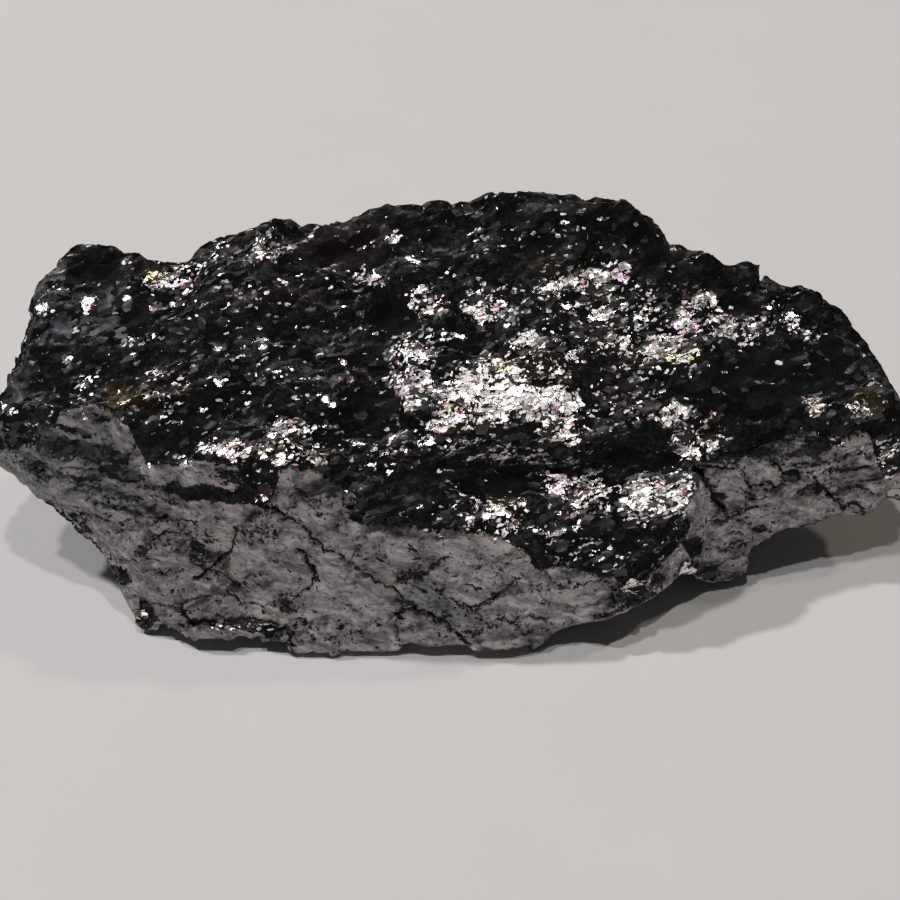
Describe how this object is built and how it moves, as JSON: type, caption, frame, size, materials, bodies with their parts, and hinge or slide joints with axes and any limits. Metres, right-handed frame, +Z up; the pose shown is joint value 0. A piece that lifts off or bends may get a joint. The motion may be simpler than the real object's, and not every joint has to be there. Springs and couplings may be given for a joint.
{
  "type": "shungite stone",
  "caption": "Rough, elongated lump of black shungite with a broad plane break along the front, a hackly sparkling top and tapering ends, lying on a small flat foot.",
  "frame": {"origin": "centre of the bounding box's base, on the table", "axes": "+X along the stone to the right end, +Y from the plane front break to the back, +Z up from the table"},
  "size_m": [0.095, 0.039, 0.032],
  "materials": {
    "shungite": "black and glassy with a dull metallic lustre; satin on the front break, sparkling on the hackly top"
  },
  "bodies": {
    "root": {"shungite_stone": "shungite"}
  },
  "joints": []
}
